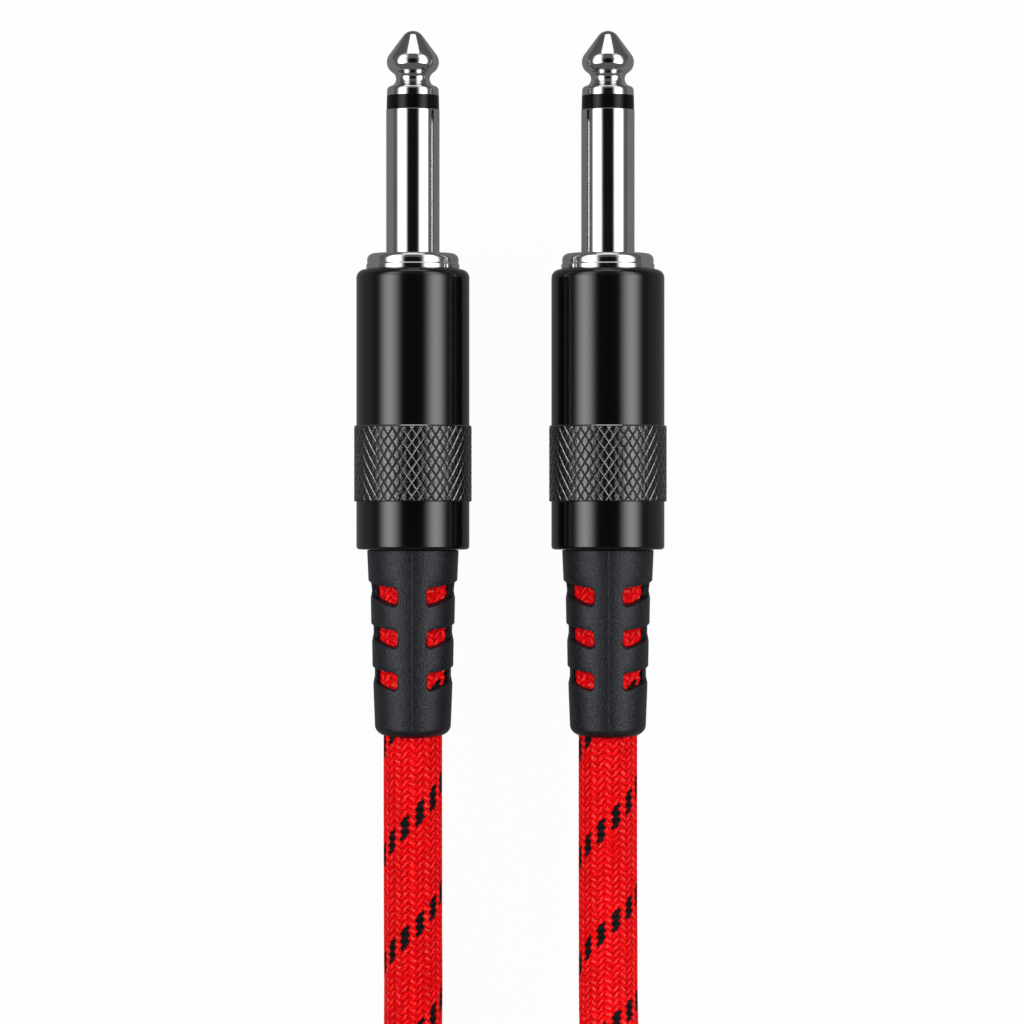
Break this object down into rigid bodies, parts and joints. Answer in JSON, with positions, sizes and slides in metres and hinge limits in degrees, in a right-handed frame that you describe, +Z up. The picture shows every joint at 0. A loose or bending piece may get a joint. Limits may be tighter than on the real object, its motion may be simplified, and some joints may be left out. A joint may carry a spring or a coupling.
{
  "type": "instrument cable",
  "caption": "Instrument cable: straight 6.35 mm mono plug at each end, screw-on barrels, slotted strain-relief boots, woven-jacket cord tied in a coil.",
  "frame": {"origin": "on the floor, midway between the plugs across and halfway along them from tip to boot", "axes": "+X from plug a to plug b, +Y along the plugs towards their tips, +Z up"},
  "size_m": [0.0882, 0.227, 0.032],
  "materials": {
    "nickel": "polished nickel plate",
    "insulator_black": "glossy",
    "insulator_white": "satin",
    "liner_black": "matte",
    "terminal_brass": "stamped brass",
    "copper": "bare copper",
    "solder": "bright solder",
    "barrel_black": "satin black, knurled band",
    "boot_rubber": "fine matte grain",
    "woven_jacket": "red woven jacket with black tracer threads",
    "tie_black": "hook-and-loop strap"
  },
  "bodies": {
    "cord_and_pins": {"plug_a_tip": "nickel", "plug_a_tip_insulator": "insulator_black", "plug_a_core_tube": "insulator_white", "plug_a_sleeve": "nickel", "plug_a_plug_body": "nickel", "plug_a_rear_insulator": "insulator_white", "plug_a_ground_clamp": "terminal_brass", "plug_a_tip_lug": "terminal_brass", "plug_a_inner_sleeve": "liner_black", "plug_a_core_conductor": "copper", "plug_a_dielectric": "insulator_white", "plug_a_shield_tail": "copper", "plug_a_tip_solder": "solder", "plug_a_ground_solder": "solder", "plug_a_cord_end": "woven_jacket", "plug_a_braid_cuff": "woven_jacket", "plug_b_tip": "nickel", "plug_b_tip_insulator": "insulator_black", "plug_b_core_tube": "insulator_white", "plug_b_sleeve": "nickel", "plug_b_plug_body": "nickel", "plug_b_rear_insulator": "insulator_white", "plug_b_ground_clamp": "terminal_brass", "plug_b_tip_lug": "terminal_brass", "plug_b_inner_sleeve": "liner_black", "plug_b_core_conductor": "copper", "plug_b_dielectric": "insulator_white", "plug_b_shield_tail": "copper", "plug_b_tip_solder": "solder", "plug_b_ground_solder": "solder", "plug_b_cord_end": "woven_jacket", "plug_b_braid_cuff": "woven_jacket", "lead_a": "woven_jacket", "coil": "woven_jacket", "lead_b": "woven_jacket", "cord_tie": "tie_black"},
    "plug_a_boot": {"plug_a_boot": "boot_rubber"},
    "plug_a_barrel": {"plug_a_barrel": "barrel_black"},
    "plug_b_boot": {"plug_b_boot": "boot_rubber"},
    "plug_b_barrel": {"plug_b_barrel": "barrel_black"}
  },
  "joints": [
    {"name": "plug_a_boot_slide", "type": "slide", "parent": "cord_and_pins", "child": "plug_a_boot", "axis": [0, -1, 0], "range_m": [0, 0.0061]},
    {"name": "plug_a_barrel_turn", "type": "hinge", "parent": "plug_a_boot", "child": "plug_a_barrel", "pos_m": [-0.0116, 0, 0.007], "axis": [0, -1, 0], "range_deg": [0, 2880]},
    {"name": "plug_b_boot_slide", "type": "slide", "parent": "cord_and_pins", "child": "plug_b_boot", "axis": [0, -1, 0], "range_m": [0, 0.0061]},
    {"name": "plug_b_barrel_turn", "type": "hinge", "parent": "plug_b_boot", "child": "plug_b_barrel", "pos_m": [0.0116, 0, 0.007], "axis": [0, -1, 0], "range_deg": [0, 2880]}
  ],
  "couplings": [
    {"joint": "plug_a_boot_slide", "follows": "plug_a_barrel_turn", "m_per_rad": 0.00011937},
    {"joint": "plug_b_boot_slide", "follows": "plug_b_barrel_turn", "m_per_rad": 0.00011937}
  ]
}
